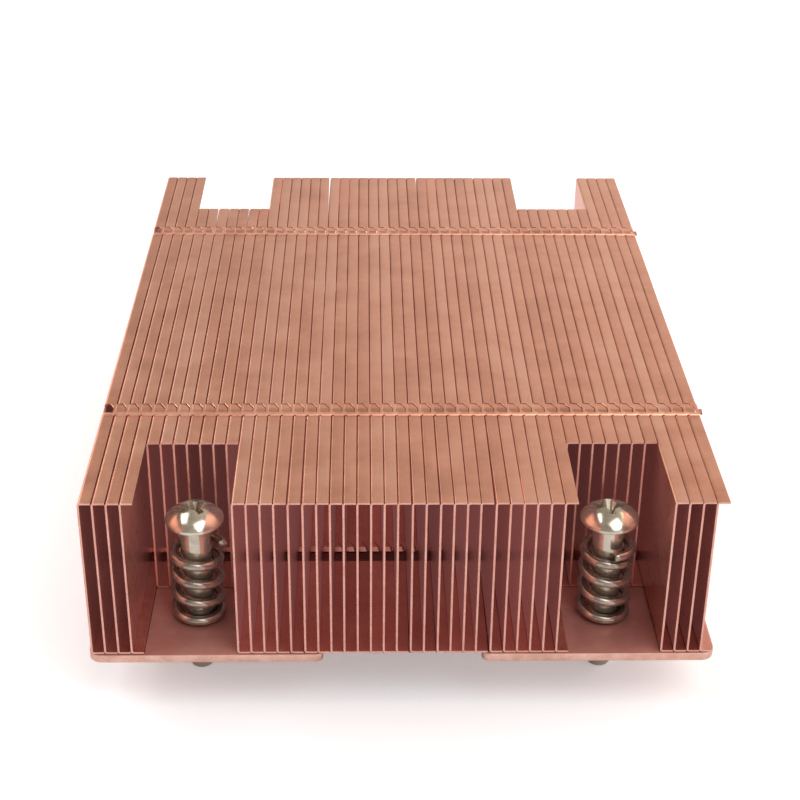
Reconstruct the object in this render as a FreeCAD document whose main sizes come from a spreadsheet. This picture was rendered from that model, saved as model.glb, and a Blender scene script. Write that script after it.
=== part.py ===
"""Low passive heat sink of a server processor, all copper, with captive spring screws.

A stack of folded sheet fins is soldered to a thin base plate. Every fin is a C section:
an upright web on its -X side, with a flange bent over to +X at the top and at the bottom.
The fins lock to each other like the links of a zipper: a tab under the edge of each
flange reaches into the window of the next fin, in two rows that run across the stack.
Two groups of shorter fins leave a notch at each corner, where a captive screw stands in
its spring. A retaining clip under the plate holds the screw in.

Frame: +Z up, +X across the fins, +Y along them. The origin is the centre of the contact
face, the underside of the pad in the middle of the base plate. Lengths are in millimetres.
"""
import FreeCAD, Part

import math
import os
import re

import Sketcher

Vector = FreeCAD.Vector
ALONG = Vector(0, 1, 0)
UPRIGHT = Vector(0, 0, 1)
TINY = 1e-6

# The driving dimensions: a name, its value, and what it measures.
DIMENSIONS = [
    ("edge_fins", 4, "full fins outside each notch"),
    ("notch_fins", 7, "short fins behind each notch"),
    ("middle_fins", 25, "full fins between the notches"),
    ("fin_pitch", 1.775, "from one web to the next"),
    ("fin_height", 23.8, "over both flanges"),
    ("fin_length", 113.0, "of a full fin"),
    ("sheet", 0.26, "thickness of the fins' sheet"),
    ("fold_bevel", 0.3, "taken off the outside of a fold"),
    ("seam", 0.06, "between a flange and the next web"),
    ("lock_spacing", 63.4, "between the two rows of locks"),
    ("lock_length", 2.6, "of a lock's window, along the fin"),
    ("lock_width", 1.5, "of a lock's window, across the fin"),
    ("lock_bevel", 0.65, "off the window's far corner, across the fin"),
    ("lock_bevel_length", 1.2, "off the window's far corner, along the fin"),
    ("lock_play", 0.08, "between a tab and the window around it"),
    ("solder_line", 0.12, "between the plate and the fins"),
    ("plate_thickness", 1.2, "of the base plate"),
    ("contact_rise", 0.7, "the contact pad stands out under the plate"),
    ("contact_width", 46.0, "of the contact pad, along X"),
    ("contact_length", 60.0, "of the contact pad, along Y"),
    ("plate_side_margin", 0.4, "the plate stands out past the outer fins"),
    ("plate_end_margin", 0.2, "the plate stands out past the fins' ends"),
    ("plate_corner", 1.8, "radius of the plate's corners"),
    ("cutout_width", 21.4, "between the two ears of the plate"),
    ("cutout_depth", 6.0, "of the space between the ears"),
    ("cutout_corner", 1.0, "radius of the corners of that space"),
    ("screws_across", 56.0, "between screw axes along X"),
    ("screws_along", 94.0, "between screw axes along Y"),
    ("screw_room", 5.7, "from a screw's axis to the ends of the short fins"),
    ("shoulder_diameter", 4.2, "of the screw's smooth shoulder"),
    ("shoulder_play", 0.1, "between the shoulder and its hole in the plate"),
    ("shoulder_rise", 15.3, "from the plate up to the head, with the screw lifted"),
    ("head_diameter", 7.9, "of the pan head"),
    ("head_height", 2.4, "from its seat to its crown"),
    ("head_rim", 0.5, "height of the head's straight rim"),
    ("recess_span", 4.4, "over the arms of the cross recess"),
    ("recess_slot", 0.95, "width of one arm of the recess"),
    ("recess_depth", 1.9, "of the recess, below the crown"),
    ("clip_diameter", 7.0, "over the retaining clip"),
    ("clip_thickness", 0.6, "of the retaining clip"),
    ("clip_play", 0.05, "between the clip and what it touches"),
    ("clip_mouth", 2.7, "width of the clip's opening"),
    ("groove_diameter", 3.2, "at the bottom of the clip's groove"),
    ("thread_diameter", 3.9, "over the screw's thread"),
    ("thread_length", 4.9, "below the clip's groove"),
    ("pilot_diameter", 3.3, "of the screw's pilot tip"),
    ("pilot_length", 1.8, "of the screw's pilot tip"),
    ("pilot_bevel", 0.5, "at the end of the tip"),
    ("wire", 1.3, "diameter of the spring's wire"),
    ("coil_diameter", 7.5, "over the spring's coils"),
    ("coil_rise", 3.05, "of one open turn"),
    ("coil_gap", 0.3, "between the wires where the turns close up"),
]
ALIASES = {alias for alias, _value, _meaning in DIMENSIONS}

# Turns of a spring: flat on the plate, open, and, for each spring, nearly closed at its top.
FLAT_TURNS = 0.5
OPEN_TURNS = 3.0
WIRE_SIDES = 7
RUNS_PER_TURN = 11

# Where the bands that make up the head's dome meet, as shares of the head's radius.
DOME_BANDS = (0.74, 0.4)

# Each corner: its name, its sides of X and Y, how far round the screw's recess is turned,
# the closed-up turns on top of its spring, and where round the screw the wire ends.
CORNERS = [
    ("front_left", -1, -1, 38.0, 0.72, 10.0),
    ("front_right", 1, -1, 4.0, 1.0, -83.0),
    ("rear_left", -1, 1, 71.0, 0.9, 155.0),
    ("rear_right", 1, 1, 22.0, 1.0, 60.0),
]

# Heights in the part's frame, as expressions of the sheet's names.
PLATE_TOP = "contact_rise + plate_thickness"
FIN_MIDDLE = f"{PLATE_TOP} + solder_line + fin_height / 2"

# Heights on a screw, from the underside of the plate.
SCREW_SEAT = "plate_thickness + shoulder_rise"
SCREW_CROWN = f"{SCREW_SEAT} + head_height"
GROOVE_FLOOR = "-clip_thickness - 2 * clip_play"
THREAD_END = f"{GROOVE_FLOOR} - thread_length"
SCREW_END = f"{THREAD_END} - pilot_length"


# --- the document, its sheet and its sketches ---------------------------------------


def sized(expression):
    """An expression with the sheet's name in front of each of the sheet's aliases."""
    words = re.split(r"([A-Za-z_]+)", expression)
    return "".join(f"Dimensions.{word}" if word in ALIASES else word for word in words)


def make_sheet(doc):
    """Puts the driving dimensions in a spreadsheet."""
    sheet = doc.addObject("Spreadsheet::Sheet", "Dimensions")
    for row, (alias, value, meaning) in enumerate(DIMENSIONS, start=1):
        sheet.set(f"A{row}", alias)
        sheet.set(f"B{row}", str(value))
        sheet.set(f"C{row}", meaning)
        sheet.setAlias(f"B{row}", alias)
    doc.recompute()
    return sheet


def number(owner, expression):
    """What an expression of the sheet's names comes to now."""
    return float(owner.evalExpression(sized(expression)))


def bind(owner, **expressions):
    """Binds properties of an object to expressions of the sheet's names."""
    for name, expression in expressions.items():
        owner.setExpression(name.replace("__", "."), sized(expression))


def add_body(doc, name):
    """Starts a body with a label of its own."""
    body = doc.addObject("PartDesign::Body", name)
    body.Label = name
    return body


def origin_feature(body, role):
    """One of the planes or axes of a body's own origin."""
    return next(item for item in body.Origin.OriginFeatures if item.Role == role)


def add_sketch(body, name, role, height="0"):
    """Attaches a sketch to an origin plane of its body, lifted off it by height."""
    sketch = body.newObject("Sketcher::SketchObject", name)
    sketch.AttachmentSupport = [(origin_feature(body, role), "")]
    sketch.MapMode = "FlatFace"
    bind(sketch, AttachmentOffset__Base__z=height)
    return sketch


def fix_value(sketch, kind, expression, *places):
    """Adds a constraint of a sketch whose value is bound to an expression."""
    start = number(sketch, expression)
    index = sketch.addConstraint(Sketcher.Constraint(kind, *places, start))
    sketch.setExpression(f"Constraints[{index}]", sized(expression))


def fix_point(sketch, element, end, across, up):
    """Fixes a point of a sketch at two distances from the sketch's origin."""
    fix_value(sketch, "DistanceX", across, -1, 1, element, end)
    fix_value(sketch, "DistanceY", up, -1, 1, element, end)


def draw_outline(sketch, corners):
    """Draws a closed outline of straight sides through pairs of expressions."""
    places = [
        Vector(number(sketch, across), number(sketch, up), 0) for across, up in corners
    ]
    for index, start in enumerate(places):
        end = places[(index + 1) % len(places)]
        sketch.addGeometry(Part.LineSegment(start, end))
        if index:
            join = Sketcher.Constraint("Coincident", index - 1, 2, index, 1)
            sketch.addConstraint(join)
    sketch.addConstraint(Sketcher.Constraint("Coincident", len(places) - 1, 2, 0, 1))
    for index, (across, up) in enumerate(corners):
        fix_point(sketch, index, 1, across, up)


def draw_circle(sketch, across, up, diameter):
    """Draws a circle about a point given by two expressions."""
    centre = Vector(number(sketch, across), number(sketch, up), 0)
    radius = number(sketch, diameter) / 2
    circle = sketch.addGeometry(Part.Circle(centre, Vector(0, 0, 1), radius))
    fix_point(sketch, circle, 3, across, up)
    fix_value(sketch, "Diameter", diameter, circle)


def box_outline(low_x, low_y, high_x, high_y):
    """The corners of a rectangle from the expressions of its sides."""
    return [(low_x, low_y), (high_x, low_y), (high_x, high_y), (low_x, high_y)]


# --- features ---------------------------------------------------------------------------


def add_pad(body, sketch, length, centred=False, downwards=False):
    """Pads a sketch of a body."""
    pad = body.newObject("PartDesign::Pad", f"{sketch.Name}_pad")
    pad.Profile = sketch
    pad.Midplane = centred
    pad.Reversed = downwards
    bind(pad, Length=length)
    sketch.Visibility = False
    return pad


def add_pocket(body, sketch, depth=None, upwards=False):
    """Pockets a sketch of a body, to a depth or right through."""
    pocket = body.newObject("PartDesign::Pocket", f"{sketch.Name}_pocket")
    pocket.Profile = sketch
    pocket.Reversed = upwards
    if depth is None:
        pocket.Type = "ThroughAll"
    else:
        bind(pocket, Length=depth)
    sketch.Visibility = False
    return pocket


def edges_along(shape, axis, test):
    """Names the straight edges of a shape along an axis whose start passes a test."""
    names = []
    for index, edge in enumerate(shape.Edges, start=1):
        if len(edge.Vertexes) == 2:
            start, end = (vertex.Point for vertex in edge.Vertexes)
            run = end - start
            if abs(abs(run.dot(axis)) - run.Length) < TINY and test(start):
                names.append(f"Edge{index}")
    return names


def add_fillet(body, base, name, radius, axis, test):
    """Rounds the edges of a feature along an axis whose start passes a test."""
    body.Document.recompute()
    fillet = body.newObject("PartDesign::Fillet", name)
    fillet.Base = (base, edges_along(base.Shape, axis, test))
    bind(fillet, Radius=radius)
    body.Tip = fillet
    return fillet


def add_bevel(body, base, name, size, axis, test):
    """Bevels the edges of a feature along an axis whose start passes a test."""
    body.Document.recompute()
    bevel = body.newObject("PartDesign::Chamfer", name)
    bevel.Base = (base, edges_along(base.Shape, axis, test))
    bind(bevel, Size=size)
    body.Tip = bevel
    return bevel


def add_pattern(body, kind, name, originals):
    """Starts a pattern or mirror of some features."""
    pattern = body.newObject(f"PartDesign::{kind}", name)
    pattern.Originals = originals
    body.Tip = pattern
    return pattern


def add_mirror(body, name, originals, role):
    """Mirrors features of a body in one of its origin planes."""
    mirror = add_pattern(body, "Mirrored", name, originals)
    mirror.MirrorPlane = (origin_feature(body, role), [""])
    return mirror


def copy_of(doc, name, master):
    """A body that repeats another one, for a place of its own."""
    base = doc.addObject("PartDesign::FeatureBase", f"{name}_copy")
    base.BaseFeature = master
    body = add_body(doc, name)
    body.Group = [base]
    body.Tip = base
    return body


# --- the fins ---------------------------------------------------------------------------


def make_fin(doc, name, length):
    """One folded fin: its web stands on X = 0 and its middle height is Z = 0.

    Args:
        doc: The document.
        name: The body's name.
        length: The fin's length along Y, as an expression.

    Returns:
        The body.
    """
    body = add_body(doc, name)
    reach = "fin_pitch - seam"
    top = "fin_height / 2"

    section = add_sketch(body, f"{name}_section", "XZ_Plane")
    draw_outline(
        section,
        [
            ("0", f"-{top}"),
            (reach, f"-{top}"),
            (reach, f"sheet - {top}"),
            ("sheet", f"sheet - {top}"),
            ("sheet", f"{top} - sheet"),
            (reach, f"{top} - sheet"),
            (reach, top),
            ("0", top),
        ],
    )
    folded = add_pad(body, section, length, centred=True)
    add_bevel(
        body, folded, f"{name}_folds", "fold_bevel", ALONG, lambda at: at.x < TINY
    )

    row = "-lock_spacing / 2"
    near = f"{row} - lock_length / 2"
    far = f"{row} + lock_length / 2"
    window = add_sketch(body, f"{name}_window", "XY_Plane", top)
    draw_outline(
        window,
        [
            ("-sheet", near),
            ("lock_width", near),
            ("lock_width", f"{far} - lock_bevel_length"),
            ("lock_width - lock_bevel", far),
            ("-sheet", far),
        ],
    )
    opened = add_pocket(body, window, "2 * sheet + lock_play")

    tab = add_sketch(body, f"{name}_tab", "XY_Plane", f"{top} - sheet")
    tip = "fin_pitch + lock_width - lock_play"
    draw_outline(
        tab,
        [
            ("lock_width", f"{near} + lock_play"),
            (tip, f"{near} + lock_play"),
            (tip, f"{far} - lock_play - lock_bevel_length"),
            (f"{tip} - lock_bevel", f"{far} - lock_play"),
            ("lock_width", f"{far} - lock_play"),
        ],
    )
    reached = add_pad(body, tab, "sheet", downwards=True)

    rows = add_pattern(body, "LinearPattern", f"{name}_locks", [opened, reached])
    rows.Direction = (origin_feature(body, "Y_Axis"), [""])
    rows.Occurrences = 2
    bind(rows, Length="lock_spacing")
    return body


def make_fins(doc):
    """The stack: full and short fins, each one pitch from the last and locked to it."""
    full = make_fin(doc, "full_fin", "fin_length")
    short = make_fin(doc, "short_fin", "screws_along - 2 * screw_room")
    groups = [
        (full, "edge_fins"),
        (short, "notch_fins"),
        (full, "middle_fins"),
        (short, "notch_fins"),
        (full, "edge_fins"),
    ]
    masters = [
        master for master, size in groups for _ in range(round(number(full, size)))
    ]
    count = "(2 * edge_fins + 2 * notch_fins + middle_fins)"
    fins = []
    for index, master in enumerate(masters):
        fin = copy_of(doc, f"fin_{index + 1:02d}", master)
        bind(
            fin,
            Placement__Base__x=f"({index} - {count} / 2) * fin_pitch + seam / 2",
            Placement__Base__z=FIN_MIDDLE,
        )
        fins.append(fin)
    return fins


# --- the base plate ---------------------------------------------------------------------


def make_base_plate(doc):
    """The plate under the fins: two ears at each end, and a hole for each screw."""
    body = add_body(doc, "base_plate")
    half_width = "((2 * edge_fins + 2 * notch_fins + middle_fins) * fin_pitch / 2"
    half_width = f"{half_width} + plate_side_margin)"
    half_length = "(fin_length / 2 + plate_end_margin)"
    outline = add_sketch(body, "plate_outline", "XY_Plane", "contact_rise")
    draw_outline(
        outline,
        box_outline(f"-{half_width}", f"-{half_length}", half_width, half_length),
    )
    plate = add_pad(body, outline, "plate_thickness")
    rounded = add_fillet(
        body, plate, "plate_corners", "plate_corner", UPRIGHT, lambda at: True
    )

    cutout = add_sketch(body, "cutout", "XY_Plane")
    draw_outline(
        cutout,
        box_outline(
            "-cutout_width / 2",
            f"-{half_length} - cutout_depth",
            "cutout_width / 2",
            f"cutout_depth - {half_length}",
        ),
    )
    front = add_pocket(body, cutout, upwards=True)
    both = add_mirror(body, "cutouts", [front], "XZ_Plane")
    half_gap = number(body, "cutout_width") / 2
    add_fillet(
        body,
        both,
        "ear_corners",
        "cutout_corner",
        UPRIGHT,
        lambda at: abs(abs(at.x) - half_gap) < TINY,
    )

    holes = add_sketch(body, "screw_holes", "XY_Plane")
    for _name, side_x, side_y, *_rest in CORNERS:
        draw_circle(
            holes,
            f"{side_x} * screws_across / 2",
            f"{side_y} * screws_along / 2",
            "shoulder_diameter + 2 * shoulder_play",
        )
    add_pocket(body, holes, upwards=True)

    contact = add_sketch(body, "contact_face", "XY_Plane")
    draw_outline(
        contact,
        box_outline(
            "-contact_width / 2",
            "-contact_length / 2",
            "contact_width / 2",
            "contact_length / 2",
        ),
    )
    body.Tip = add_pad(body, contact, "contact_rise")
    return body


# --- screws, clips and springs ----------------------------------------------------------


def make_screw(doc):
    """One captive screw, upright on the Z axis, lifted until its clip meets the plate."""
    body = add_body(doc, "captive_screw")
    profile = add_sketch(body, "screw_profile", "XZ_Plane")
    pilot = "pilot_diameter / 2"
    thread = "thread_diameter / 2"
    head = "head_diameter / 2"
    dome = "(head_height - head_rim)"
    ball = f"(({head})^2 + {dome}^2) / (2 * {dome})"
    bands = [
        (
            f"{share} * {head}",
            f"{SCREW_CROWN} - {ball} + sqrt(({ball})^2 - ({share} * {head})^2)",
        )
        for share in DOME_BANDS
    ]
    corners = [
        ("0", SCREW_END),
        (f"{pilot} - pilot_bevel", SCREW_END),
        (pilot, f"{SCREW_END} + pilot_bevel"),
        (pilot, THREAD_END),
        (thread, THREAD_END),
        (thread, GROOVE_FLOOR),
        ("groove_diameter / 2", GROOVE_FLOOR),
        ("groove_diameter / 2", "0"),
        ("shoulder_diameter / 2", "0"),
        ("shoulder_diameter / 2", SCREW_SEAT),
        (head, SCREW_SEAT),
        (head, f"{SCREW_SEAT} + head_rim"),
        *bands,
        ("0", SCREW_CROWN),
    ]
    draw_outline(profile, corners)
    turned = body.newObject("PartDesign::Revolution", "screw_turned")
    turned.Profile = profile
    turned.ReferenceAxis = (profile, ["V_Axis"])
    turned.Angle = 360
    profile.Visibility = False

    span = "recess_span / 2"
    slot = "recess_slot / 2"
    recess = add_sketch(body, "recess", "XY_Plane", SCREW_CROWN)
    draw_outline(
        recess,
        [
            (span, f"-{slot}"),
            (span, slot),
            (slot, slot),
            (slot, span),
            (f"-{slot}", span),
            (f"-{slot}", slot),
            (f"-{span}", slot),
            (f"-{span}", f"-{slot}"),
            (f"-{slot}", f"-{slot}"),
            (f"-{slot}", f"-{span}"),
            (slot, f"-{span}"),
            (slot, f"-{slot}"),
        ],
    )
    body.Tip = add_pocket(body, recess, "recess_depth")
    return body


def make_clip(doc):
    """One retaining clip: a flat ring, open towards +X, that snaps into the groove."""
    body = add_body(doc, "retaining_clip")
    bottom = "-clip_play - clip_thickness"
    disc = add_sketch(body, "clip_disc", "XY_Plane", bottom)
    draw_circle(disc, "0", "0", "clip_diameter")
    add_pad(body, disc, "clip_thickness")

    seat = add_sketch(body, "clip_seat", "XY_Plane", bottom)
    draw_circle(seat, "0", "0", "groove_diameter + 2 * clip_play")
    add_pocket(body, seat, upwards=True)

    mouth = add_sketch(body, "clip_opening", "XY_Plane", bottom)
    draw_outline(
        mouth, box_outline("0", "-clip_mouth / 2", "clip_diameter", "clip_mouth / 2")
    )
    body.Tip = add_pocket(body, mouth, upwards=True)
    return body


def make_spring(doc, sheet, name, closed_turns, end_angle):
    """One coil spring, wound to the left, that stands on the plate.

    Args:
        doc: The document.
        sheet: The spreadsheet of driving dimensions.
        name: The spring's name.
        closed_turns: How many turns at its top lie almost wire on wire.
        end_angle: Where the wire ends at the top, in degrees from +X.

    Returns:
        The feature, with the spring's axis on Z and the plate's top at Z = 0.
    """
    coil_radius = (sheet.coil_diameter - sheet.wire) / 2
    closed_rise = sheet.wire + sheet.coil_gap
    turns = FLAT_TURNS + OPEN_TURNS + closed_turns
    runs = round(turns * RUNS_PER_TURN)
    path = []
    for run in range(runs + 1):
        turn = turns * run / runs
        opened = min(max(turn - FLAT_TURNS, 0), OPEN_TURNS)
        closed = max(turn - FLAT_TURNS - OPEN_TURNS, 0)
        height = sheet.wire / 2 + opened * sheet.coil_rise + closed * closed_rise
        angle = math.radians(end_angle) + (turns - turn) * math.tau
        path.append(
            Vector(
                coil_radius * math.cos(angle), coil_radius * math.sin(angle), height
            )
        )

    ahead = (path[1] - path[0]).normalize()
    outward = Vector(path[0].x, path[0].y, 0).normalize()
    across = ahead.cross(outward)
    section = []
    for side in range(WIRE_SIDES):
        angle = math.tau * (side + 0.5) / WIRE_SIDES
        offset = outward * math.cos(angle) + across * math.sin(angle)
        section.append(path[0] + offset * (sheet.wire / 2))
    sweep = Part.BRepOffsetAPI.MakePipeShell(Part.makePolygon(path))
    sweep.setTransitionMode(1)
    sweep.add(Part.makePolygon(section + section[:1]))
    sweep.build()
    sweep.makeSolid()
    spring = doc.addObject("Part::Feature", name)
    spring.Label = name
    spring.Shape = sweep.shape()
    return spring


def make_corners(doc, sheet):
    """A screw, its spring and its clip at each corner of the pattern."""
    screw_master = make_screw(doc)
    clip_master = make_clip(doc)
    pieces = []
    for corner, side_x, side_y, recess_turn, closed_turns, end_angle in CORNERS:
        screw = copy_of(doc, f"screw_{corner}", screw_master)
        clip = copy_of(doc, f"clip_{corner}", clip_master)
        spring = make_spring(doc, sheet, f"spring_{corner}", closed_turns, end_angle)
        for piece, height, turn in (
            (screw, "contact_rise", recess_turn),
            (clip, "contact_rise", 90 - 90 * side_x),
            (spring, PLATE_TOP, 0),
        ):
            piece.Placement.Rotation = FreeCAD.Rotation(UPRIGHT, turn)
            bind(
                piece,
                Placement__Base__x=f"{side_x} * screws_across / 2",
                Placement__Base__y=f"{side_y} * screws_along / 2",
                Placement__Base__z=height,
            )
            pieces.append(piece)
    return pieces


# --- the whole part ---------------------------------------------------------------------


def check(doc, pieces):
    """Stops on an object that failed, or a piece that is not one sound solid."""
    for item in doc.Objects:
        if "Invalid" in item.State or "Error" in item.State:
            raise RuntimeError(f"{item.Label} failed: {item.State}")
    for piece in pieces:
        shape = piece.Shape
        if shape.isNull() or not shape.isValid() or len(shape.Solids) != 1:
            raise RuntimeError(f"{piece.Label} is not one valid solid")


def main():
    """Builds the part and writes each piece to a file named after it."""
    doc = FreeCAD.newDocument("server_heat_sink")
    sheet = make_sheet(doc)
    pieces = [make_base_plate(doc), *make_fins(doc), *make_corners(doc, sheet)]
    doc.recompute()
    check(doc, pieces)
    os.makedirs("parts", exist_ok=True)
    for piece in pieces:
        piece.Shape.exportStep(f"parts/{piece.Label}.step")
    print(f"wrote {len(pieces)} pieces")


main()
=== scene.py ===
"""Looks of a low server heat sink: folded copper fins on a copper plate, with captive screws.

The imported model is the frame. Every sub-assembly is a class that builds its meshes where
the frame's nodes lie, dresses them in a finish and lets them ride on a body. Lengths are
in metres, written as millimetres times MM, and +Z is up.
"""

import logging
import math
import random
from collections.abc import Callable, Sequence
from dataclasses import dataclass, replace
from enum import Enum

import bmesh
import bpy
from mathutils import Matrix, Vector


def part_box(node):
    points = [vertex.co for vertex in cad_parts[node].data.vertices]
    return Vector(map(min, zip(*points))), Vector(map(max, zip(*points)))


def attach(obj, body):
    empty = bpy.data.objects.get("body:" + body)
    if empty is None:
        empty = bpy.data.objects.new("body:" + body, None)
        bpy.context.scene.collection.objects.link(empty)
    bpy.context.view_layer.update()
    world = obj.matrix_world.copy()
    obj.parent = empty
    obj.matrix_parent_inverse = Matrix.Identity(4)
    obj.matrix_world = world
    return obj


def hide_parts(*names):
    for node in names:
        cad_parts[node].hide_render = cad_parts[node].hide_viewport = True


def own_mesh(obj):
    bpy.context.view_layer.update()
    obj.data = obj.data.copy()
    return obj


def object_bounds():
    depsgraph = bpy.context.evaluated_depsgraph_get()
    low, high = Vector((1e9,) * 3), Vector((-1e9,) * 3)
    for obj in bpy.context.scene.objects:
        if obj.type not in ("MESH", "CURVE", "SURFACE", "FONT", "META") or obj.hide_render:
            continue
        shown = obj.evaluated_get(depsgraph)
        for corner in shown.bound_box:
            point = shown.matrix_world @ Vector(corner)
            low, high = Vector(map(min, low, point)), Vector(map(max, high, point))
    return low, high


MM = 0.001
UP = Vector((0, 0, 1))
SINK = "heat_sink"
# How near two places lie that count as one, in metres: as drawn, after an edit, and after
# a modifier.
DRAWN = 1e-7
EDITED = 1e-6
MODIFIED = 1e-5
LOG = logging.getLogger("heat_sink")

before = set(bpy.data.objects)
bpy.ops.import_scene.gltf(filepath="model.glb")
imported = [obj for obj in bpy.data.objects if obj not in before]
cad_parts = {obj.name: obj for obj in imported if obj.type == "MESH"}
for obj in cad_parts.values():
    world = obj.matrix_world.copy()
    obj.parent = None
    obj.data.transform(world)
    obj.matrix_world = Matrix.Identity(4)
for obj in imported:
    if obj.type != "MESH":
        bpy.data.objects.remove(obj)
CAD_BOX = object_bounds()


# --- colours and nodes ----------------------------------------------------------------


def linear(hex_code: str) -> tuple[float, float, float, float]:
    """A colour's linear red, green, blue and alpha.

    Args:
        hex_code: The colour as six sRGB hex digits.

    Returns:
        The four linear channels.
    """
    channels = [int(hex_code[at : at + 2], 16) / 255 for at in (0, 2, 4)]
    low = [value / 12.92 for value in channels]
    high = [((value + 0.055) / 1.055) ** 2.4 for value in channels]
    return (*(a if c <= 0.04045 else b for a, b, c in zip(low, high, channels)), 1.0)


def add_node(
    tree: bpy.types.NodeTree,
    kind: str,
    settings: dict[str, object] | None = None,
    stops: Sequence[tuple[float, str]] = (),
    **inputs: object,
) -> bpy.types.Node:
    """Adds a node, sets it up and links it.

    Args:
        tree: The node tree.
        kind: The node's type.
        settings: Values of the node's own properties.
        stops: A colour ramp's stops: the place of each, from 0 to 1, and its colour as six
            sRGB hex digits.
        inputs: A value or an output socket for each input, by its name with underscores
            for spaces, or by its number after "at_".

    Returns:
        The node.
    """
    node = tree.nodes.new(kind)
    for name, value in (settings or {}).items():
        setattr(node, name, value)
    if stops:
        elements = node.color_ramp.elements
        elements[0].position, elements[1].position = stops[0][0], stops[-1][0]
        for place, _code in stops[1:-1]:
            elements.new(place)
        for element, (_place, code) in zip(elements, stops):
            element.color = linear(code)
    for name, value in inputs.items():
        if name.startswith("at_"):
            socket = node.inputs[int(name[3:])]
        else:
            socket = node.inputs[name.replace("_", " ")]
        if isinstance(value, bpy.types.NodeSocket):
            tree.links.new(value, socket)
        else:
            socket.default_value = value
    return node


class Slot(Enum):
    """The record's material slots."""

    SHEET = "copper_sheet"
    PLATE = "copper_plate"
    SCREW = "nickel_screw"
    WIRE = "spring_wire"
    CLIP = "clip_steel"


# --- finishes ---------------------------------------------------------------------------

# Nearly all of a noise lies between these two values.
NOISE_RANGE = (0.3, 0.7)


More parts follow.
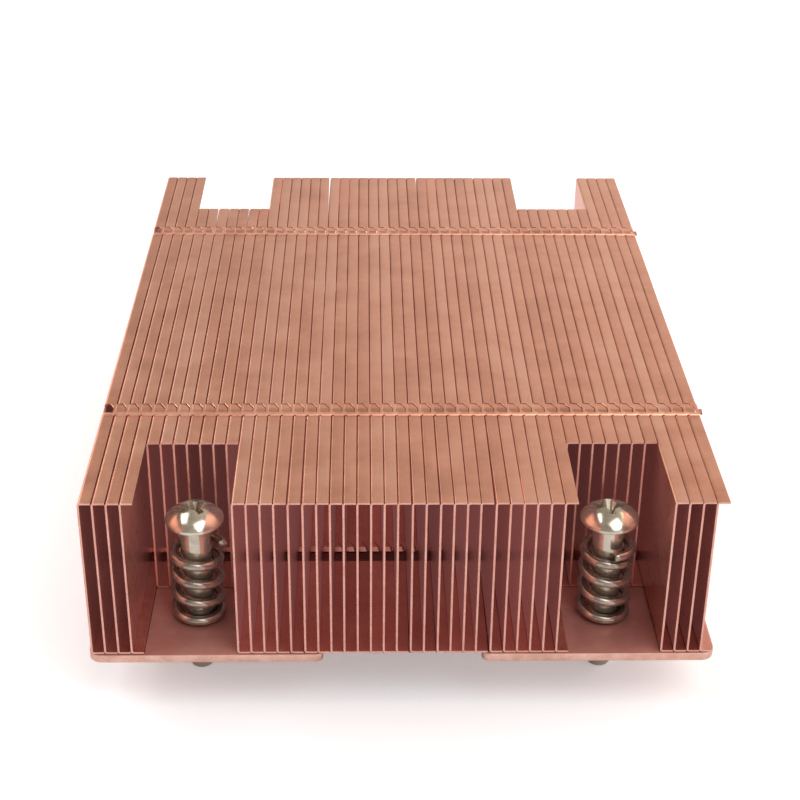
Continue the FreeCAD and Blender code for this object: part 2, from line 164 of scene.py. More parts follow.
@dataclass(frozen=True)
class Metal:
    """A bare metal, with lay lines from how it was made, and faint stains.

    The lay is how long a line is along X, Y and Z. Real ones are some hundredths of a
    millimetre wide, too fine to show, so they are drawn as coarse as they need to show.
    """

    name: str
    shades: tuple[str, ...]
    roughness: float
    lay: tuple[float, float, float]
    lay_strength: float
    roughness_spread: float = 0.08
    stain_size: float = 6 * MM
    tone_share: float = 0.0
    bump: float = 0.02 * MM
    metallic: float = 1.0
    # deep_light: the colour of a painted glow, seen by every hit of a path but its first.
    deep_light: str = ""

    def build(self) -> bpy.types.Material:
        """Makes the material.

        Returns:
            The material, with its colour, roughness and bump from nodes.
        """
        material = bpy.data.materials.new(self.name)
        material.use_nodes = True
        tree = material.node_tree
        shader = tree.nodes["Principled BSDF"]
        shader.inputs["Metallic"].default_value = self.metallic
        place = add_node(tree, "ShaderNodeTexCoord").outputs["Object"]
        lines = add_node(
            tree,
            "ShaderNodeTexNoise",
            Vector=add_node(
                tree,
                "ShaderNodeMapping",
                Vector=place,
                Scale=tuple(1 / length for length in self.lay),
            ).outputs["Vector"],
            Scale=1.0,
            Detail=3.0,
            Roughness=0.6,
        ).outputs["Fac"]
        stains = add_node(
            tree,
            "ShaderNodeTexNoise",
            Vector=place,
            Scale=1 / self.stain_size,
            Detail=4.0,
            Roughness=0.62,
        ).outputs["Fac"]
        relief = add_node(
            tree, "ShaderNodeBump", Strength=1.0, Distance=self.bump, Height=lines
        ).outputs["Normal"]
        tree.links.new(self.colour(tree, lines, stains), shader.inputs["Base Color"])
        tree.links.new(self.gloss(tree, lines, stains), shader.inputs["Roughness"])
        tree.links.new(relief, shader.inputs["Normal"])
        if self.deep_light:
            shader.inputs["Emission Color"].default_value = linear(self.deep_light)
            tree.links.new(self.deep_share(tree), shader.inputs["Emission Strength"])
        return material

    def colour(
        self,
        tree: bpy.types.NodeTree,
        lines: bpy.types.NodeSocket,
        stains: bpy.types.NodeSocket,
    ) -> bpy.types.NodeSocket:
        """Colours the metal by its lay lines and stains, and by the piece's own tone.

        Args:
            tree: The material's node tree.
            lines: The lay lines, from 0 to 1.
            stains: The stains, from 0 to 1.

        Returns:
            The colour.
        """
        shade = add_node(
            tree,
            "ShaderNodeMath",
            {"operation": "MULTIPLY_ADD"},
            at_0=lines,
            at_1=self.lay_strength,
            at_2=add_node(
                tree,
                "ShaderNodeMath",
                {"operation": "SUBTRACT"},
                at_0=stains,
                at_1=0.5 * self.lay_strength,
            ).outputs[0],
        ).outputs[0]
        if self.tone_share:
            tone = add_node(
                tree, "ShaderNodeAttribute", {"attribute_name": "tone"}
            ).outputs["Fac"]
            shade = add_node(
                tree,
                "ShaderNodeMix",
                {"data_type": "FLOAT"},
                at_0=self.tone_share,
                at_2=shade,
                at_3=tone,
            ).outputs[0]
        low, high = NOISE_RANGE
        gap = (high - low) / (len(self.shades) - 1)
        stops = [(low + gap * at, code) for at, code in enumerate(self.shades)]
        ramp = add_node(tree, "ShaderNodeValToRGB", stops=stops, Fac=shade)
        return ramp.outputs["Color"]

    def gloss(
        self,
        tree: bpy.types.NodeTree,
        lines: bpy.types.NodeSocket,
        stains: bpy.types.NodeSocket,
    ) -> bpy.types.NodeSocket:
        """Spreads the roughness by the lay lines and stains.

        Args:
            tree: The material's node tree.
            lines: The lay lines, from 0 to 1.
            stains: The stains, from 0 to 1.

        Returns:
            The roughness.
        """
        both = add_node(
            tree,
            "ShaderNodeMix",
            {"data_type": "FLOAT"},
            at_0=0.5,
            at_2=lines,
            at_3=stains,
        ).outputs[0]
        return add_node(
            tree,
            "ShaderNodeMapRange",
            Value=both,
            From_Min=NOISE_RANGE[0],
            From_Max=NOISE_RANGE[1],
            To_Min=self.roughness - self.roughness_spread,
            To_Max=self.roughness + self.roughness_spread,
        ).outputs["Result"]

    def deep_share(self, tree: bpy.types.NodeTree) -> bpy.types.NodeSocket:
        """Gives the piece's share of glow to every hit of a path but its first.

        Args:
            tree: The material's node tree.

        Returns:
            The share.
        """
        depth = add_node(tree, "ShaderNodeLightPath").outputs["Ray Depth"]
        later = add_node(
            tree, "ShaderNodeMath", {"operation": "GREATER_THAN"}, at_0=depth, at_1=0.5
        ).outputs[0]
        glow = add_node(
            tree, "ShaderNodeAttribute", {"attribute_name": "glow"}
        ).outputs["Fac"]
        return add_node(
            tree, "ShaderNodeMath", {"operation": "MULTIPLY"}, at_0=later, at_1=glow
        ).outputs[0]


# Rolled copper sheet: satin, with fine lines along the rolling direction, and a tone of
# its own for each fin, because the strip is cut and folded piece by piece.
ROLLED_COPPER = Metal(
    "rolled_copper_sheet",
    ("D2947A", "DD9D82", "E4A78C", "E8AF97"),
    roughness=0.36,
    lay=(0.12 * MM, 9 * MM, 0.12 * MM),
    lay_strength=0.35,
    tone_share=0.22,
    bump=0.004 * MM,
)
# The same sheet inside the stack: painted light, a redder copy with a diffuse share that
# stands in for the light between the fins. Light comes back out from between the fins after
# dozens of bounces, more than a path is given, so a hit after the first one gets the light
# that its missing bounces would bring, as a painted glow.
INNER_COPPER = Metal(
    "heat_dulled_copper_sheet",
    ("D98E7E", "E49C8C", "EBA999"),
    roughness=0.3,
    lay=(0.12 * MM, 9 * MM, 0.12 * MM),
    lay_strength=0.35,
    bump=0.004 * MM,
    metallic=0.92,
    deep_light="494143",
)
# The same sheet where a punch has pressed it smooth: it mirrors what is in front of it.
PRESSED_COPPER = Metal(
    "punch_pressed_copper",
    ("B87A6C", "C68A7C", "D49A8C"),
    roughness=0.16,
    roughness_spread=0.03,
    lay=(0.4 * MM, 0.4 * MM, 0.4 * MM),
    lay_strength=0.3,
    bump=0.002 * MM,
)
# Painted shade: dull brown-red copper on the seams' free edges, on the near ends of the tabs
# by the locks, and on the lower flanges in front of each row of locks.
PAINTED_SHADE_COPPER = Metal(
    "painted_shade_copper",
    ("784B47", "885752", "98655F"),
    roughness=0.5,
    lay=(0.4 * MM, 0.4 * MM, 0.4 * MM),
    lay_strength=0.5,
    stain_size=3 * MM,
    bump=0.004 * MM,
    metallic=0.8,
)
# Sheared copper edge: bare bright metal with fine burrs, paler than the rolled faces.
SHEARED_COPPER = Metal(
    "sheared_copper_edge",
    ("D3A392", "E1B4A4", "ECC5B7"),
    roughness=0.42,
    lay=(0.15 * MM, 0.15 * MM, 0.6 * MM),
    lay_strength=0.5,
    stain_size=2 * MM,
    bump=0.01 * MM,
    metallic=0.75,
)
# The same cut at a fin's two ends: a thin pale line, burnished by the blade.
SHEET_EDGE = replace(
    SHEARED_COPPER,
    name="slit_copper_sheet_edge",
    shades=("DA9E8F", "E5AC9E", "EDBAAD"),
)
# Stamped copper plate, warmed by soldering: a little redder and duller than the sheet.
STAMPED_COPPER = Metal(
    "stamped_copper_plate",
    ("C0867D", "D0968C", "DCA69C"),
    roughness=0.38,
    lay=(8 * MM, 0.5 * MM, 8 * MM),
    lay_strength=0.12,
    stain_size=12 * MM,
    bump=0.002 * MM,
    metallic=0.55,
)
# Reflowed tin solder: grey, pitted, dull at its edge.
REFLOWED_SOLDER = Metal(
    "reflowed_tin_solder",
    ("6A5550", "8C7670", "B09A92"),
    roughness=0.45,
    lay=(0.4 * MM, 0.4 * MM, 0.4 * MM),
    lay_strength=0.6,
    stain_size=1.5 * MM,
    bump=0.02 * MM,
)
# Nickel plate on a turned steel screw: bright and slightly warm, with faint lathe rings.
NICKEL_PLATE = Metal(
    "nickel_plated_screw",
    ("B5AC9C", "CFC7B8", "DDD6C8"),
    roughness=0.17,
    metallic=0.82,
    lay=(3 * MM, 3 * MM, 0.09 * MM),
    lay_strength=0.3,
    roughness_spread=0.04,
    stain_size=3 * MM,
    bump=0.001 * MM,
)
# Drawn spring steel with thin plating: darker than the screw, with fine draw marks.
DRAWN_WIRE = Metal(
    "drawn_spring_steel",
    ("8B8178", "A69C92", "BBB1A7"),
    roughness=0.22,
    metallic=0.85,
    lay=(0.5 * MM, 0.5 * MM, 0.12 * MM),
    lay_strength=0.4,
    roughness_spread=0.06,
    stain_size=2 * MM,
    bump=0.002 * MM,
)
# Stamped stainless retaining clip: satin grey.
CLIP_STEEL = Metal(
    "stamped_stainless_clip",
    ("96948F", "ADABA6", "C2C0BB"),
    roughness=0.3,
    lay=(2 * MM, 0.15 * MM, 2 * MM),
    lay_strength=0.4,
    stain_size=2 * MM,
    bump=0.003 * MM,
)


# --- meshes -----------------------------------------------------------------------------


def free_to_mesh(name: str, shape: bmesh.types.BMesh) -> bpy.types.Mesh:
    """Turns a bmesh into a mesh, and frees it.

    Args:
        name: The mesh's name.
        shape: The bmesh.

    Returns:
        The mesh.
    """
    mesh = bpy.data.meshes.new(name)
    shape.to_mesh(mesh)
    shape.free()
    return mesh


def add_object(name: str, data: bpy.types.ID) -> bpy.types.Object:
    """Adds an object to the scene.

    Args:
        name: The object's name.
        data: Its mesh, light or camera.

    Returns:
        The object.
    """
    added = bpy.data.objects.new(name, data)
    bpy.context.scene.collection.objects.link(added)
    return added


def pick(items: Sequence[object], kind: type) -> list[object]:
    """The vertices, edges or faces among the elements of a mesh."""
    return [item for item in items if isinstance(item, kind)]


def bevel(
    shape: bmesh.types.BMesh,
    edges: Sequence[bmesh.types.BMEdge],
    width: float,
    segments: int,
    clamped: bool = True,
) -> None:
    """Rounds edges over.

    Args:
        shape: The mesh.
        edges: The edges.
        width: How far from its edge a rounding starts.
        segments: The faces across a rounding.
        clamped: Whether roundings that would overlap are narrowed.
    """
    bmesh.ops.bevel(
        shape,
        geom=edges,
        offset=width,
        offset_type="OFFSET",
        segments=segments,
        profile=0.5,
        affect="EDGES",
        clamp_overlap=clamped,
        material=-1,
    )


def make_piece(
    name: str,
    shape: bmesh.types.BMesh,
    materials: Sequence[bpy.types.Material],
    body: str,
    nodes: Sequence[str] = (),
    sharp_angle: float = 35.0,
) -> bpy.types.Object:
    """Turns a bmesh into a piece that rides on a body.

    Args:
        name: The piece's name.
        shape: The mesh, which is freed.
        materials: The piece's materials, in the order of its faces' numbers.
        body: The body it rides on.
        nodes: The CAD nodes that it stands for.
        sharp_angle: The angle in degrees above which an edge stays sharp.

    Returns:
        The piece.
    """
    mesh = free_to_mesh(name, shape)
    mesh.shade_smooth()
    mesh.set_sharp_from_angle(angle=math.radians(sharp_angle))
    for material in materials:
        mesh.materials.append(material)
    piece = add_object(name, mesh)
    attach(piece, body)
    if nodes:
        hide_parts(*nodes)
    LOG.info("%s: %d faces on %s", name, len(mesh.polygons), body)
    return piece


def apply_modifier(
    shape: bmesh.types.BMesh, kind: str, **settings: object
) -> bmesh.types.BMesh:
    """Runs a modifier over a bmesh.

    Args:
        shape: The mesh, which is freed.
        kind: The modifier's type.
        settings: Values of the modifier's properties.

    Returns:
        The mesh that the modifier makes.
    """
    mesh = free_to_mesh("shape", shape)
    holder = add_object("shape", mesh)
    modifier = holder.modifiers.new(kind.title(), kind)
    for name, value in settings.items():
        setattr(modifier, name, value)
    evaluated = holder.evaluated_get(bpy.context.evaluated_depsgraph_get())
    made = bmesh.new()
    made.from_mesh(evaluated.to_mesh())
    evaluated.to_mesh_clear()
    bpy.data.objects.remove(holder)
    bpy.data.meshes.remove(mesh)
    return made


def cut(
    shape: bmesh.types.BMesh,
    point: Vector,
    normal: Vector,
    among: Callable[[Vector], bool],
) -> None:
    """Cuts faces along a plane, without parting them.

    Args:
        shape: The mesh.
        point: A point of the plane.
        normal: The plane's normal.
        among: Says of a face's centre whether the face is cut.
    """
    faces = [face for face in shape.faces if among(face.calc_center_median())]
    edges = {edge for face in faces for edge in face.edges}
    verts = {vert for face in faces for vert in face.verts}
    bmesh.ops.bisect_plane(
        shape,
        geom=[*faces, *edges, *verts],
        dist=DRAWN,
        plane_co=point,
        plane_no=normal,
    )


# --- fins -------------------------------------------------------------------------------


@dataclass(frozen=True)
class Fin:
    """Where one fin stands, and how it strays from its place.

    The strays are how far its two ends stand off in X, beyond the locks that hold it.
    """

    number: int
    low: Vector
    high: Vector
    tone: float
    stray_front: float
    stray_rear: float

    @property
    def name(self) -> str:
        """The fin's CAD node."""
        return f"fin_{self.number:02d}"


# How much of its normal a face has along an axis, at least, to count as facing that way:
# a flat face, the side of the stack, a lower flange, and a fold.
FLAT = 0.7
SIDE = 0.5
FLOOR = 0.3
FOLD = 0.1
# Any offset brings the faces of a rim back to the first material, because the sheet has
# no materials yet when it gets its thickness.
RIM_OFFSET = 1
# The finishes of a fin's faces, in the order of the faces' material numbers.
FIN_FINISHES = (
    ROLLED_COPPER,
    SHEET_EDGE,
    INNER_COPPER,
    PAINTED_SHADE_COPPER,
    PRESSED_COPPER,
)


def fin_pitch() -> float:
    """The distance from one fin to the next."""
    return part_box("fin_02")[0].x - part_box("fin_01")[0].x


@dataclass
class FinStack:
    """The folded fins, locked to each other at the top and at the bottom.

    A lock is a window beside a flange's fold and a tab at its free edge, which reaches
    under the next fin's window. A ridge crosses the flange in front of its windows. Shade is
    painted on the lower flanges forwards from the windows by shade_reach, and on the near end
    of each tab. Loose seams are named by the fin before them. The seams are closed by
    "closing" behind closing_to along Y, and less and less as far as closing_from. The first
    and last notch_last fins stand round the notches, and take less painted glow than the
    others.
    """

    count: int = sum(node.startswith("fin_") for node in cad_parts)
    sheet: float = 0.26 * MM
    fold_radius: float = 0.42 * MM
    fold_segments: int = 4
    seam: float = 0.03 * MM
    lock_spacing: float = 63.4 * MM
    lock_length: float = 2.6 * MM
    lock_width: float = 1.5 * MM
    lock_depth: float = 0.6 * MM
    lock_bevel: tuple[float, float] = (0.65 * MM, 1.2 * MM)
    lock_roll: float = 0.2 * MM
    tab_near: float = 0.42 * MM
    tab_far: float = 0.13 * MM
    tab_tip: float = 0.1 * MM
    tab_drop: float = 0.06 * MM
    tab_dip: float = 0.2 * MM
    tab_shade_length: float = 0.62 * MM
    last_tab: float = 0.5 * MM
    jog: float = 0.08 * MM
    lip_height: float = 0.45 * MM
    lip_lean: float = 0.17 * MM
    lip_taper: float = 0.62
    shade_reach: float = 2.2 * MM
    ridge_length: float = 0.85 * MM
    ridge_brow: float = 0.12 * MM
    ridge_crest: float = 0.2 * MM
    ridge_rise: float = 0.12 * MM
    crest_share: float = 0.35
    ridge_lap: float = 0.5 * MM
    ridge_lift: float = 0.03 * MM
    row_reach: float = 8 * MM
    end_band: float = 0.01 * MM
    edge_band: float = 0.078 * MM
    shown_depth: float = 0.63 * MM
    tab_depth: float = 0.182 * MM
    stations: int = 18
    stray_spread: float = 0.012 * MM
    loose_front: tuple[tuple[int, float], ...] = (
        (15, 0.1 * MM),
        (16, 0.1 * MM),
        (24, 0.1 * MM),
        (26, 0.12 * MM),
        (30, 0.2 * MM),
        (31, 0.1 * MM),
    )
    loose_rear: tuple[tuple[int, float], ...] = (
        (6, 0.14 * MM),
        (7, 0.07 * MM),
        (8, 0.07 * MM),
        (9, 0.14 * MM),
        (11, 0.06 * MM),
        (17, 0.2 * MM),
        (26, 0.16 * MM),
    )
    closing: float = 0.055 * MM
    closing_from: float = 5 * MM
    closing_to: float = 16 * MM
    loose_reach: float = 2.0
    notch_last: int = 11
    notch_glow: float = 0.55
    least_glow: float = 0.72
    tone_glow: float = 0.56
    seed: int = 31

    def build(self) -> None:
        """Builds every fin of the stack."""
        materials = [finish.build() for finish in FIN_FINISHES]
        for fin in self.place_fins():
            shape = self.fold(fin)
            for side in (1, -1):
                for row in (-1, 1):
                    self.cut_lock(shape, fin, side, row * self.lock_spacing / 2)
            shape = apply_modifier(
                shape,
                "SOLIDIFY",
                thickness=self.sheet,
                offset=0.0,
                use_even_offset=True,
                use_rim=True,
                material_offset_rim=RIM_OFFSET,
            )
            self.roll_windows(shape, fin)
            self.stray(shape, fin)
            self.mark_edges(shape, fin)
            make_piece(
                f"folded_{fin.name}", shape, materials, SINK, [fin.name]
            )

    def place_fins(self) -> list[Fin]:
        """Reads where each fin stands, and gives each its tone and strays.

        Returns:
            The fins, from -X to +X.
        """
        chance = random.Random(self.seed)
        fins = []
        for number in range(1, self.count + 1):
            low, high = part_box(f"fin_{number:02d}")
            fins.append(
                Fin(
                    number,
                    low,
                    high,
                    tone=chance.random(),
                    stray_front=chance.gauss(0, self.stray_spread)
                    + self.lean(number, self.loose_front),
                    stray_rear=chance.gauss(0, self.stray_spread)
                    + self.lean(number, self.loose_rear),
                )
            )
        return fins

    def lean(self, number: int, loose: Sequence[tuple[int, float]]) -> float:
        """How far the loose seams push a fin's end aside.

        Args:
            number: The fin's number.
            loose: The fin before each loose seam, and the seam's extra width.

        Returns:
            The push along X, which fades from fin to fin.
        """
        push = 0.0
        for before, width in loose:
            steps = number - before if number <= before else number - before - 1
            side = -0.5 if number <= before else 0.5
            push += side * width * math.exp(-abs(steps) / self.loose_reach)
        return push

    def free_edge(self, fin: Fin) -> float:
        """The place along X of a fin's free edges."""
        return fin.low.x + fin_pitch() - self.seam

    def fold(self, fin: Fin) -> bmesh.types.BMesh:
        """Folds one fin as a sheet without thickness, at the middle of its wall.

        Args:
            fin: The fin.

        Returns:
            The sheet: a web with a flange at its top and at its bottom.
        """
        half = self.sheet / 2
        web = fin.low.x + half
        free = self.free_edge(fin)
        bottom, top = fin.low.z + half, fin.high.z - half
        shape = bmesh.new()
        places = [(free, bottom), (web, bottom), (web, top), (free, top)]
        verts = [shape.verts.new((x, fin.low.y, z)) for x, z in places]
        edges = [shape.edges.new(pair) for pair in zip(verts, verts[1:])]
        made = bmesh.ops.extrude_edge_only(shape, edges=edges)["geom"]
        bmesh.ops.translate(
            shape,
            verts=pick(made, bmesh.types.BMVert),
            vec=(0, fin.high.y - fin.low.y, 0),
        )
        folds = [
            edge
            for edge in shape.edges
            if all(abs(vert.co.x - web) < DRAWN for vert in edge.verts)
            and abs(edge.verts[0].co.z - edge.verts[1].co.z) < DRAWN
        ]
        bevel(shape, folds, self.fold_radius - half, self.fold_segments, clamped=False)
        for station in range(1, self.stations):
            y = fin.low.y + (fin.high.y - fin.low.y) * station / self.stations
            cut(shape, Vector((0, y, 0)), Vector((0, 1, 0)), lambda at: True)
        return shape

    def cut_lock(
        self, shape: bmesh.types.BMesh, fin: Fin, side: int, row: float
    ) -> None:
        """Cuts a lock's window in a flange, raises its ridge and draws its tab.

        Args:
            shape: The fin's sheet.
            fin: The fin.
            side: 1 for the top flange and -1 for the bottom one.
            row: The lock's place along Y.
        """
        left = fin.low.x
        inner = left + self.lock_width
        face = (fin.high.z if side > 0 else fin.low.z) - side * self.sheet / 2
        sill = face + side * (self.sheet / 2 - self.lock_depth)
        near, far = row - self.lock_length / 2, row + self.lock_length / 2
        ridge, crest = near - self.ridge_length, near - self.ridge_crest
        brow = ridge + self.ridge_brow
        bevel_x, bevel_y = self.lock_bevel
        across, along = Vector((1, 0, 0)), Vector((0, 1, 0))

        def in_row(at: Vector) -> bool:
            reach = ridge - self.row_reach < at.y < far + self.row_reach
            return reach and side * (at.z - sill) > 0

        def in_window(at: Vector) -> bool:
            return in_row(at) and near < at.y < far and at.x < inner

        cut(shape, Vector((0, 0, sill)), UP, lambda at: abs(at.x - left) < self.sheet)
        # The first cut marks where the painted shade in front of the windows starts.
        for y in (near - self.shade_reach, ridge, brow, crest, near, far):
            cut(shape, Vector((0, y, 0)), along, in_row)
        cut(
            shape,
            Vector((inner, 0, 0)),
            across,
            lambda at: in_row(at) and near < at.y < far,
        )
        tab_ends = (near + self.tab_near, far - self.tab_far)
        # The last cut marks where the painted shade on the tab's near end stops.
        for y in (*tab_ends, tab_ends[0] + self.tab_shade_length):
            cut(
                shape,
                Vector((0, y, 0)),
                along,
                lambda at: in_row(at) and near < at.y < far and at.x > inner,
            )
        corner = Vector((inner, far - bevel_y, face))
        slope = Vector((bevel_y, bevel_x, 0)).normalized()
        cut(
            shape,
            corner,
            slope,
            lambda at: in_window(at) and at.x > left + self.fold_radius,
        )
        gone = [
            item
            for item in shape.faces
            if in_window(item.calc_center_median())
            and (item.calc_center_median() - corner).dot(slope) < 0
        ]
        bmesh.ops.delete(shape, geom=gone, context="FACES")
        self.draw_tab(shape, fin, side, near, far, face)
        free = self.free_edge(fin)
        rises = ((brow, 1.0), (crest, self.crest_share), (near, 0.0))
        for vert in [vert for vert in shape.verts if abs(vert.co.z - face) < DRAWN]:
            for y, share in rises:
                if abs(vert.co.y - y) > DRAWN:
                    continue
                vert.co.z += side * share * self.ridge_rise
                if abs(vert.co.x - free) < EDITED and fin.number < self.count:
                    vert.co.x += self.ridge_lap
                    vert.co.z += side * self.ridge_lift

    def draw_tab(
        self,
        shape: bmesh.types.BMesh,
        fin: Fin,
        side: int,
        near: float,
        far: float,
        face: float,
    ) -> None:
        """Draws the tab that reaches under the next flange, from a flange's free edge.

        Args:
            shape: The fin's sheet.
            fin: The fin.
            side: 1 for the top flange and -1 for the bottom one.
            near: The window's near end.
            far: The window's far end.
            face: The height of the flange.
        """
        free = self.free_edge(fin)
        tip = fin.low.x + fin_pitch() + self.lock_width - self.tab_tip
        if fin.number == self.count:
            tip = free + self.last_tab
        bevel_x, bevel_y = self.lock_bevel
        low, high = near + self.tab_near - EDITED, far - self.tab_far + EDITED
        edges = [
            edge
            for edge in shape.edges
            if all(
                abs(vert.co.x - free) < EDITED
                and abs(vert.co.z - face) < EDITED
                and low < vert.co.y < high
                for vert in edge.verts
            )
        ]
        tab = []
        steps = [(self.jog, 0, -side * self.tab_drop), (tip - free - self.jog, 0, 0)]
        if fin.number == self.count:
            steps.append((0.5 * self.jog, 0, -side * self.sheet))
        for step in steps:
            made = bmesh.ops.extrude_edge_only(shape, edges=edges)["geom"]
            tab = pick(made, bmesh.types.BMFace)
            edges = [
                edge
                for edge in pick(made, bmesh.types.BMEdge)
                if all(vert in made for vert in edge.verts)
                and abs(edge.verts[0].co.x - edge.verts[1].co.x) < DRAWN
            ]
            bmesh.ops.translate(shape, verts=pick(made, bmesh.types.BMVert), vec=step)
        verts = {vert for item in tab for vert in item.verts}
        rim = {edge for item in tab for edge in item.edges}
        bmesh.ops.bisect_plane(
            shape,
            geom=[*tab, *rim, *verts],
            dist=DRAWN,
            plane_co=(tip, far - self.tab_far - bevel_y, face),
            plane_no=Vector((bevel_y, bevel_x, 0)).normalized(),
            clear_outer=True,
        )
        near_end = [
            vert
            for vert in shape.verts
            if abs(vert.co.y - low) < MODIFIED
            and vert.co.x > free + self.jog - EDITED
            and abs(vert.co.z - face) < self.lock_depth
        ]
        for vert in near_end:
            vert.co.z -= side * self.tab_dip
        if side < 0 and fin.number < self.count:
            self.raise_lip(shape, near_end)

    def raise_lip(
        self, shape: bmesh.types.BMesh, near_end: list[bmesh.types.BMVert]
    ) -> None:
        """Turns up the near end of a lower tab, where the punch has caught it.

        Args:
            shape: The fin's sheet.
            near_end: The tab's vertices at its near end.
        """
        edges = [
            edge for edge in shape.edges if all(end in near_end for end in edge.verts)
        ]
        made = bmesh.ops.extrude_edge_only(shape, edges=edges)["geom"]
        verts = pick(made, bmesh.types.BMVert)
        middle = sum((vert.co for vert in verts), Vector()) / len(verts)
        bmesh.ops.scale(
            shape,
            verts=verts,
            vec=(self.lip_taper, 1, 1),
            space=Matrix.Translation(-middle),
        )
        bmesh.ops.translate(
            shape, verts=verts, vec=(0, self.lip_lean, self.lip_height)
        )
        for face in pick(made, bmesh.types.BMFace):
            face.material_index = FIN_FINISHES.index(PRESSED_COPPER)

    def roll_windows(self, shape: bmesh.types.BMesh, fin: Fin) -> None:
        """Rolls over the slanted edge of each window, as the punch leaves it.

        Args:
            shape: The fin's mesh.
            fin: The fin.
        """
        bevel_x, bevel_y = self.lock_bevel
        slope = Vector((bevel_y, bevel_x, 0)).normalized()
        rims = []
        for row in (-1, 1):
            far = (row * self.lock_spacing + self.lock_length) / 2
            corner = Vector((fin.low.x + self.lock_width, far - bevel_y, 0))
            for edge in shape.edges:
                if all(
                    abs((vert.co - corner).dot(slope)) < EDITED
                    and fin.high.z - vert.co.z < MODIFIED
                    and corner.y - MODIFIED < vert.co.y < far + MODIFIED
                    and vert.co.x < corner.x + MODIFIED
                    for vert in edge.verts
                ):
                    rims.append(edge)
        bevel(shape, rims, self.lock_roll, segments=3)

    def stray(self, shape: bmesh.types.BMesh, fin: Fin) -> None:
        """Lets a fin stray a little, and closes its seam where the locks pull it tight.

        Args:
            shape: The fin's mesh.
            fin: The fin.
        """
        reach = fin.high.y - self.lock_spacing / 2
        free = self.free_edge(fin)
        for vert in shape.verts:
            beyond = max(0.0, abs(vert.co.y) - self.lock_spacing / 2) / reach
            stray = fin.stray_front if vert.co.y < 0 else fin.stray_rear
            if abs(vert.co.x - free) < EDITED:
                way = (vert.co.y - self.closing_from) / (self.closing_to - self.closing_from)
                vert.co.x += self.closing * min(1.0, max(0.0, way))
            vert.co.x += stray * beyond**2

    def mark_edges(self, shape: bmesh.types.BMesh, fin: Fin) -> None:
        """Gives cut ends their own material, seams and locks painted shade, channels painted
        glow.

        Args:
            shape: The fin's mesh, which also gets the fin's tone and its share of painted
                glow.
            fin: The fin.
        """
        tone = shape.verts.layers.float.new("tone")
        glow = shape.verts.layers.float.new("glow")
        inner = self.notch_last < fin.number <= self.count - self.notch_last
        # Each fin's share of painted glow: more for a lighter tone, less round the notches.
        share = self.least_glow + self.tone_glow * fin.tone
        if not inner:
            share *= self.notch_glow
        for vert in shape.verts:
            vert[tone], vert[glow] = fin.tone, share
        for face in shape.faces:
            if face.material_index == 0:
                face.material_index = FIN_FINISHES.index(self.finish_of(face, fin))

    def finish_of(self, face: bmesh.types.BMFace, fin: Fin) -> Metal:
        """Tells the finish of a face that has none of its own yet.

        Args:
            face: The face.
            fin: The fin it belongs to.

        Returns:
            The finish.
        """
        middle, normal = face.calc_center_median(), face.normal
        free = self.free_edge(fin)
        side = 1 if middle.z > (fin.low.z + fin.high.z) / 2 else -1
        depth = side * ((fin.high.z if side > 0 else fin.low.z) - middle.z)
        from_end = min(middle.y - fin.low.y, fin.high.y - middle.y)
        outside = {1: -1, self.count: 1}.get(fin.number, 0)
        if from_end < self.end_band and abs(normal.y) > FLAT:
            return SHEET_EDGE
        # The seam's free edge is painted dark, as the shade in the seam.
        if abs(middle.x - free) < self.edge_band and normal.x > FLAT and outside < 1:
            return PAINTED_SHADE_COPPER
        if outside * normal.x > SIDE:
            return ROLLED_COPPER
        # A shown fold keeps the rolled copper, and a tab's near end by the locks gets painted
        # shade.
        if depth < self.shown_depth and side * normal.z - normal.x > FOLD:
            on_tab = middle.x > free + self.jog and depth > self.tab_depth
            shaded_tab = self.by_lock(middle.y, self.tab_near + self.tab_shade_length)
            return PAINTED_SHADE_COPPER if on_tab and shaded_tab else ROLLED_COPPER
        # Deeper inside: painted shade on the lower flange by the locks, elsewhere the
        # painted-glow copy.
        on_floor = side < 0 and normal.z > FLOOR
        floor_shaded = on_floor and self.by_lock(middle.y, self.tab_near)
        return PAINTED_SHADE_COPPER if floor_shaded else INNER_COPPER

    def by_lock(self, y: float, depth: float) -> bool:
        """Tells whether a place lies at the near end of a row of locks.

        Args:
            y: The place along Y.
            depth: How far beyond the windows' near end counts.

        Returns:
            True from the painted shade's reach in front of a row's windows to the depth in
            them.
        """
        nears = [side * self.lock_spacing / 2 - self.lock_length / 2 for side in (-1, 1)]
        return any(near - self.shade_reach < y < near + depth for near in nears)


# --- base plate, solder and clips -------------------------------------------------------


def refine(
    node: str, width: float, segments: int, sharp: float = 25.0
) -> bmesh.types.BMesh:
    """Copies a CAD node's solid and eases its edges.

    Args:
        node: The CAD node.
        width: The width of the easing.
        segments: The easing's segments.
        sharp: The angle in degrees above which an edge is eased.

    Returns:
        The eased shape.
    """
    shape = bmesh.new()
    shape.from_mesh(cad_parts[node].data)
    bmesh.ops.remove_doubles(shape, verts=shape.verts, dist=EDITED)
    bmesh.ops.dissolve_limit(
        shape, angle_limit=math.radians(1), verts=shape.verts, edges=shape.edges
    )
    edges = [
        edge
        for edge in shape.edges
        if edge.is_manifold and edge.calc_face_angle() > math.radians(sharp)
    ]
    bevel(shape, edges, width, segments)
    bmesh.ops.triangulate(
        shape, faces=[face for face in shape.faces if len(face.verts) > 4]
    )
    return shape


